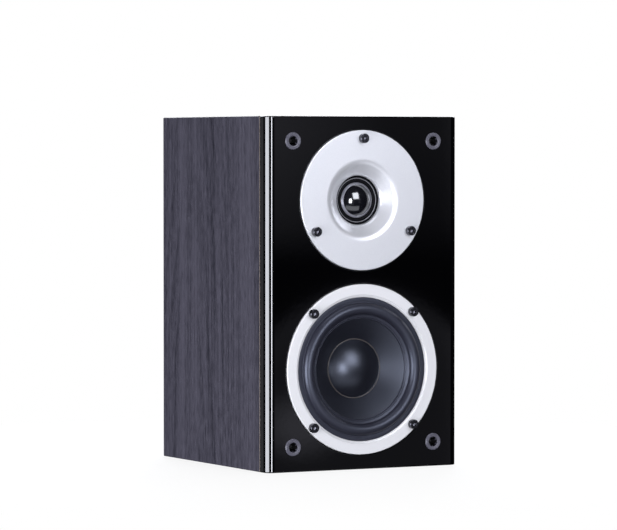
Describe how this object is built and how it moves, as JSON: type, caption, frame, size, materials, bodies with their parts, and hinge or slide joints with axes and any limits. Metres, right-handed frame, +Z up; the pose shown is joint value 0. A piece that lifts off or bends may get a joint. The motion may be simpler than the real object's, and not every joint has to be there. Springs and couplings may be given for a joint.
{
  "type": "bookshelf speaker",
  "caption": "Compact two-way bookshelf loudspeaker: wood-grain cabinet, gloss black baffle, silver dome tweeter plate, silver-ringed woofer, rear port and binding posts.",
  "frame": {"origin": "middle of the cabinet's footprint on the shelf, half way between the baffle's face and the sleeve's rear edge", "axes": "+Z up, the front baffle faces -Y, +X is to the right of a person who looks at the front"},
  "size_m": [0.1614, 0.1859, 0.262],
  "materials": {
    "black_ash_vinyl": "satin printed vinyl wrap on chipboard",
    "black_lacquer": "high gloss lacquer on fibreboard",
    "silver_plate": "fine satin silver paint on cast metal",
    "silver_ring": "brushed and bevelled",
    "grey_socket_plastic": "moulded, slightly worn",
    "black_oxide_steel": "black oxide, oiled",
    "rubber_surround": "moulded butyl, satin",
    "foam_gasket": "closed cell foam",
    "black_cone": "mineral filled polypropylene, satin",
    "dust_cap_black": "moulded, satin",
    "gloss_dome": "glossy coated dome",
    "doped_cloth": "doped cloth",
    "spider_cloth": "resin treated cotton",
    "black_moulding": "fine textured moulding",
    "pressed_steel": "black painted pressed steel",
    "zinc_steel": "zinc plated",
    "ferrite": "dull sintered ferrite",
    "coil_former": "foil",
    "copper_winding": "enamelled copper",
    "tag_board": "hard paper laminate",
    "gold_plate": "gold plated and bright",
    "tinned_tag": "tinned",
    "red_plastic": "red moulding",
    "black_plastic": "black moulding",
    "circuit_board": "green solder mask",
    "white_nylon": "nylon",
    "capacitor_film": "yellow tape wrap",
    "white_cement": "cement",
    "wire_jacket": "pvc jacket",
    "grey_foam": "open cell foam"
  },
  "bodies": {
    "cabinet": {"front_baffle": "black_lacquer", "left_side_panel": "black_ash_vinyl", "right_side_panel": "black_ash_vinyl", "top_panel": "black_ash_vinyl", "bottom_panel": "black_ash_vinyl", "rear_panel": "black_ash_vinyl", "grille_sockets": "grey_socket_plastic", "woofer_trim_ring": "silver_ring", "woofer_basket": "pressed_steel", "woofer_gasket": "foam_gasket", "woofer_surround": "rubber_surround", "woofer_spider": "spider_cloth", "woofer_top_plate": "zinc_steel", "woofer_magnet": "ferrite", "woofer_yoke": "zinc_steel", "woofer_screws": "black_oxide_steel", "woofer_terminal_strip": "tag_board", "woofer_tinsel_leads": "copper_winding", "tweeter_faceplate": "silver_plate", "tweeter_clamp_ring": "black_moulding", "tweeter_surround": "doped_cloth", "tweeter_top_plate": "zinc_steel", "tweeter_magnet": "ferrite", "tweeter_yoke": "zinc_steel", "tweeter_gasket": "foam_gasket", "tweeter_screws": "black_oxide_steel", "tweeter_terminal_board": "tag_board", "port_tube": "black_moulding", "terminal_cup": "black_moulding", "terminal_cup_gasket": "foam_gasket", "terminal_cup_screws": "black_oxide_steel", "binding_post_studs": "gold_plate", "red_post_collar": "red_plastic", "black_post_collar": "black_plastic", "post_nuts": "zinc_steel", "post_solder_tags": "tinned_tag", "crossover_board": "circuit_board", "crossover_standoffs": "white_nylon", "bass_inductor": "copper_winding", "treble_inductor": "copper_winding", "crossover_capacitors": "capacitor_film", "crossover_resistors": "white_cement", "input_wires": "wire_jacket", "woofer_wires": "wire_jacket", "tweeter_wires": "wire_jacket", "wire_clips": "black_moulding", "acoustic_foam": "grey_foam"},
    "woofer_diaphragm": {"woofer_cone": "black_cone", "woofer_dust_cap": "dust_cap_black", "woofer_coil_former": "coil_former", "woofer_voice_coil": "copper_winding"},
    "tweeter_diaphragm": {"tweeter_dome": "gloss_dome", "tweeter_coil_former": "coil_former", "tweeter_voice_coil": "copper_winding"},
    "red_clamp": {"red_clamp_washer": "gold_plate"},
    "red_knob": {"red_post_knob": "red_plastic", "red_knob_insert": "gold_plate"},
    "black_clamp": {"black_clamp_washer": "gold_plate"},
    "black_knob": {"black_post_knob": "black_plastic", "black_knob_insert": "gold_plate"}
  },
  "joints": [
    {"name": "woofer_travel", "type": "slide", "parent": "cabinet", "child": "woofer_diaphragm", "axis": [0, -1, 0], "range_m": [-0.004, 0.004], "stiffness_N_per_m": 900, "deforming": ["woofer_surround", "woofer_spider", "woofer_tinsel_leads"]},
    {"name": "tweeter_travel", "type": "slide", "parent": "cabinet", "child": "tweeter_diaphragm", "axis": [0, -1, 0], "range_m": [-0.0005, 0.0005], "stiffness_N_per_m": 1200, "deforming": ["tweeter_surround"]},
    {"name": "red_knob_travel", "type": "slide", "parent": "cabinet", "child": "red_clamp", "axis": [0, 1, 0], "range_m": [0, 0.0032]},
    {"name": "red_knob_turn", "type": "hinge", "parent": "red_clamp", "child": "red_knob", "pos_m": [0.00953, 0.073, 0.07], "axis": [0, 1, 0], "range_deg": [0, 1440]},
    {"name": "black_knob_travel", "type": "slide", "parent": "cabinet", "child": "black_clamp", "axis": [0, 1, 0], "range_m": [0, 0.0032]},
    {"name": "black_knob_turn", "type": "hinge", "parent": "black_clamp", "child": "black_knob", "pos_m": [-0.00953, 0.073, 0.07], "axis": [0, 1, 0], "range_deg": [0, 1440]}
  ],
  "couplings": [
    {"joint": "red_knob_travel", "follows": "red_knob_turn", "m_per_rad": 0.00012732},
    {"joint": "black_knob_travel", "follows": "black_knob_turn", "m_per_rad": 0.00012732}
  ]
}
